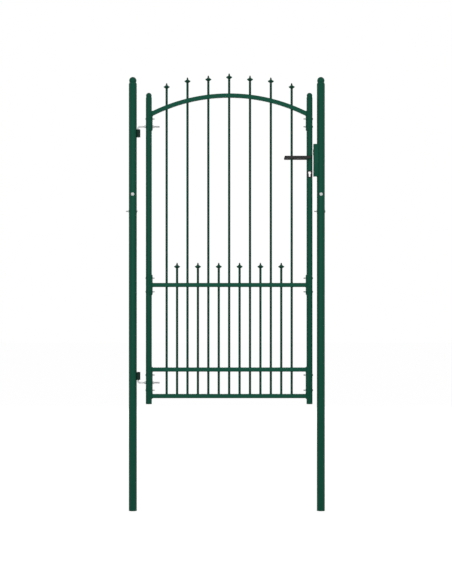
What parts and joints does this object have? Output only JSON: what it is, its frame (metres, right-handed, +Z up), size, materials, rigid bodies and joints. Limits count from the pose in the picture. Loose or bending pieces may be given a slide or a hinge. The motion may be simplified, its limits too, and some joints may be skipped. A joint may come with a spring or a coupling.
{
  "type": "fence gate",
  "caption": "Green steel garden fence gate with an arched top, spear-headed pickets, a lever lock and round posts with ball caps.",
  "frame": {"origin": "middle of the hinge post's foot, on its axis", "axes": "+X from the hinge post to the latch post, +Y from the front of the gate to its back, +Z up"},
  "size_m": [1.1975, 0.106, 2.624],
  "materials": {
    "green_coat": "smooth satin powder coat on steel",
    "sleeve_coat": "near-black green powder coat on steel",
    "zinc_plate": "bright zinc plating",
    "lock_steel": "brushed stainless steel",
    "black_plastic": "fine-grained black nylon"
  },
  "bodies": {
    "posts": {"hinge_post": "green_coat", "latch_post": "green_coat", "post_caps": "green_coat", "upper_hinge_sleeve": "sleeve_coat", "lower_hinge_sleeve": "sleeve_coat", "strike_box": "green_coat", "post_bolts": "zinc_plate", "post_nuts": "zinc_plate"},
    "leaf": {"hinge_stile": "green_coat", "latch_stile": "green_coat", "stile_caps": "green_coat", "bottom_rail": "green_coat", "lower_rail": "green_coat", "middle_rail": "green_coat", "arched_rail": "green_coat", "long_picket_1": "green_coat", "long_picket_2": "green_coat", "long_picket_3": "green_coat", "long_picket_4": "green_coat", "long_picket_5": "green_coat", "long_picket_6": "green_coat", "long_picket_7": "green_coat", "short_picket_1": "green_coat", "short_picket_2": "green_coat", "short_picket_3": "green_coat", "short_picket_4": "green_coat", "short_picket_5": "green_coat", "short_picket_6": "green_coat", "long_spears": "green_coat", "short_spears": "green_coat", "hinge_stile_saddles": "green_coat", "latch_stile_saddles": "green_coat", "hinge_side_bolts": "zinc_plate", "latch_side_bolts": "green_coat", "clamp_nuts": "zinc_plate", "upper_hinge_bolt": "zinc_plate", "lower_hinge_bolt": "zinc_plate", "hinge_nuts": "zinc_plate", "lock_case": "lock_steel", "cylinder_roses": "black_plastic"},
    "lever": {"front_lever": "black_plastic", "back_lever": "black_plastic", "lever_spindle": "lock_steel"},
    "latch": {"latch_bolt": "lock_steel"}
  },
  "joints": [
    {"name": "gate_swing", "type": "hinge", "parent": "posts", "child": "leaf", "pos_m": [0.032, 0, 2.263], "axis": [0, 0, 1], "range_deg": [-90, 90]},
    {"name": "lever_turn", "type": "hinge", "parent": "leaf", "child": "lever", "pos_m": [1.06, 0, 2.117], "axis": [0, -1, 0], "range_deg": [0, 40], "stiffness_Nm_per_rad": 1.5, "springref_deg": -34.38},
    {"name": "latch_slide", "type": "slide", "parent": "leaf", "child": "latch", "axis": [-1, 0, 0], "range_m": [0, 0.004]}
  ],
  "couplings": [
    {"joint": "latch_slide", "follows": "lever_turn", "m_per_rad": 0.0057}
  ]
}
